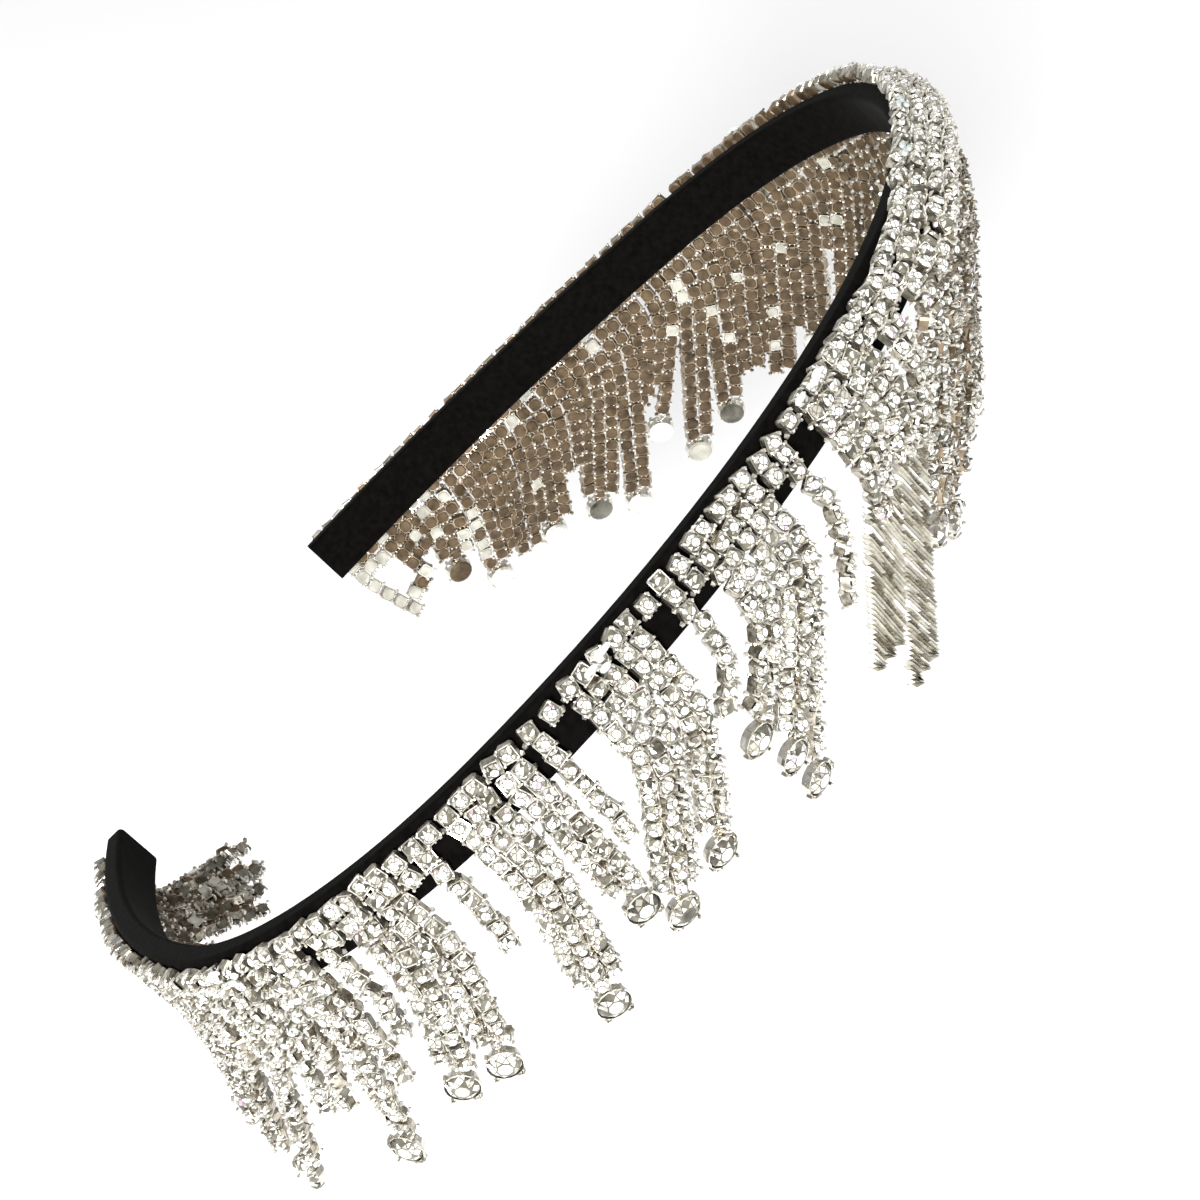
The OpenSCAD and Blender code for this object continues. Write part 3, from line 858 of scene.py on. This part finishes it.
for i, bunch in enumerate(BUNCHES):
    build, number = Build(), i + 1
    pale = PALE.get(number, PALE_ODDS)
    for t, (strands, length, lean, _) in enumerate(bunch[2]):
        lay_tail(build, tail_place(bunch, t), strands, length, bunch[1], lean,
                 end=RIBBONS.get(number, math.inf), pale=pale,
                 hole=HOLES.get((number, t), ()))
    if i < len(TUFTS):
        lay_tuft(build, bunch, TUFTS[i], BUNCHES[i + 1])
    for s, droop, strands, length, lean, start in BETWEEN.get(number, ()):
        lay_tail(build, s, strands, length, droop, lean, start=start, pale=pale)
    if number in GLUED:
        lay_glue(build, bunch[0] + GLUED[number])
    piece = build.piece("fringe_%d_chain" % number, CHAIN_MATS)
    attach(piece, "root")
    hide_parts("fringe_%d" % number)


# Drops: x across, y up towards the loop, z towards the crystal
# the cup's rings, from its back to inside its rim: radius and z
DROP_RINGS = ((1.7, 0), (2.15, 0.25), (CUP_R - 0.05, 1.2), (CUP_R, CUP_H),
              (CUP_R - 0.22, CUP_H), (CUP_R - 0.3, 0.9))
DROP_SIDES = 16
# a claw's line up the cup: how far outside it, z and radius
DROP_CLAW = ((0, 0.9, 0.28), (0.05, 1.7, 0.27), (-0.15, 2.25, 0.25), (-0.7, 2.55, 0.2),
             (-1.0, 2.58, 0.08))
GIRDLE_Z, CROWN_Z, TABLE_Z = 1.45, 1.95, 2.3
LOOP_POINTS = 13
DROP_TUBE_SIDES = 6
DROP_SHADE = 0.35        # share by which a crystal has fewer facets in painted highlight


def drop_template():
    """A claw cup with a brilliant, and the loop that it hangs by."""
    t = Template()
    # the drop cup's back in painted brown reflection, the inside of its rim and its floor in
    # painted shade
    t.rings([p for r, z in DROP_RINGS for p in ring(r, z, DROP_SIDES)], DROP_SIDES,
            (BACK, SILVER, SILVER, SILVER, DARK), BACK, DARK)
    for a in (45, 135, 225, 315):
        c, s = math.cos(math.radians(a)), math.sin(math.radians(a))
        line = [(c * (CUP_R + q), s * (CUP_R + q), z) for q, z, _ in DROP_CLAW]
        t.put(*tube(line, [r for _, _, r in DROP_CLAW], DROP_TUBE_SIDES), SILVER)
    brilliant(t, CRYSTAL_D / 2, GIRDLE_Z, CROWN_Z, TABLE_Z)
    loop = [(LOOP_R * math.cos(a), CUP_R + LOOP_R + LOOP_R * math.sin(a), CUP_H / 2)
            for a in np.linspace(-1.5 * math.pi, 0.5 * math.pi, LOOP_POINTS)]
    t.put(*tube(loop, [LOOP_WIRE] * LOOP_POINTS, DROP_TUBE_SIDES), SILVER)
    return t


DROP = drop_template()
DROP_POINTS = np.array(DROP.points)
count = 0
for bunch in BUNCHES:
    for t, (strands, length, lean, crystal) in enumerate(bunch[2]):
        if not crystal:
            continue
        count += 1
        line = Strand(tail_place(bunch, t), length, bunch[1], lean)
        p, across, facing, down = line.at(length)
        centre = p + down * DROP_REACH - facing * CUP_H / 2
        # each drop cup's back takes one finish at random, most of them painted reflections
        back = rng.choice((BEAD, MID, BACK, DARK, LIGHT))
        build = Build()
        build.add(centre + DROP_POINTS @ np.array([across, -down, facing]), DROP.faces,
                  [back if k == BACK else k for k in finishes(DROP.kinds, 0, DROP_SHADE)])
        piece = build.piece("drop_%d_crystal" % count, CHAIN_MATS)
        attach(piece, "root")
        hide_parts("drop_%d" % count)


# Floor, light and camera, in metres
FLOOR_SIZE, FLOOR_Z = 6.0, -0.27
CENTRE = (0.0, 0.05, -0.05)
# the camera, as fitted to the hoop's edges in the photograph
LENS, SENSOR = 81.23, 36   # in millimetres
CAMERA_AT = (-0.25659, -0.09733, 0.20167)
CAMERA_LOOK = (0.6536, 0.3610, -0.6652)
CAMERA_UP = (0.6612, 0.1554, 0.7340)


def plane(name, size, z):
    """A level square of a size, centred below the origin at height z."""
    mesh = bpy.data.meshes.new(name)
    h = size / 2
    mesh.from_pydata([(-h, -h, z), (h, -h, z), (h, h, z), (-h, h, z)], [], [(0, 1, 2, 3)])
    obj = bpy.data.objects.new(name, mesh)
    bpy.context.scene.collection.objects.link(obj)
    return obj


def area_light(name, at, size, power):
    """A round light of a size in metres and a power in watts, turned to the part."""
    data = bpy.data.lights.new(name, "AREA")
    data.shape = "DISK"
    data.size = size
    data.energy = power
    obj = bpy.data.objects.new(name, data)
    obj.location = at
    obj.rotation_mode = "QUATERNION"
    obj.rotation_quaternion = (Vector(CENTRE) - Vector(at)).to_track_quat("-Z", "Y")
    bpy.context.scene.collection.objects.link(obj)


def studio_world(grey, strength):
    world = bpy.data.worlds.new("studio")
    world.use_nodes = True
    background = world.node_tree.nodes["Background"]
    background.inputs["Color"].default_value = (grey, grey, grey, 1)
    background.inputs["Strength"].default_value = strength
    return world


def photo_camera():
    """The camera at the photograph's angle and distance."""
    data = bpy.data.cameras.new("camera")
    data.sensor_width = SENSOR
    data.lens = LENS
    data.clip_start, data.clip_end = 0.01, 10
    camera = bpy.data.objects.new("camera", data)
    bpy.context.scene.collection.objects.link(camera)
    look = Vector(CAMERA_LOOK).normalized()
    up = Vector(CAMERA_UP)
    up = (up - up.dot(look) * look).normalized()
    right = look.cross(up)
    rows = [(right[i], up[i], -look[i], CAMERA_AT[i]) for i in range(3)]
    camera.matrix_world = Matrix((*rows, (0, 0, 0, 1)))
    return camera


floor = plane("floor", FLOOR_SIZE, FLOOR_Z)
floor.data.materials.append(surface("floor_pale", (0.91, 0.91, 0.91), (0.93, 0.93, 0.93), 2,
                                    metallic=0.0, rough=(0.8, 0.9), specular=0.1))
area_light("key", (-1.0, -0.32, 0.6), 0.3, 27)
area_light("fill", (0.7, -0.9, 0.6), 0.4, 2)
area_light("top", (0.1, 0.3, 1.2), 0.5, 5)
bpy.context.scene.world = studio_world(0.9, 0.55)
bpy.context.scene.camera = photo_camera()
bpy.context.scene.view_settings.view_transform = "Standard"
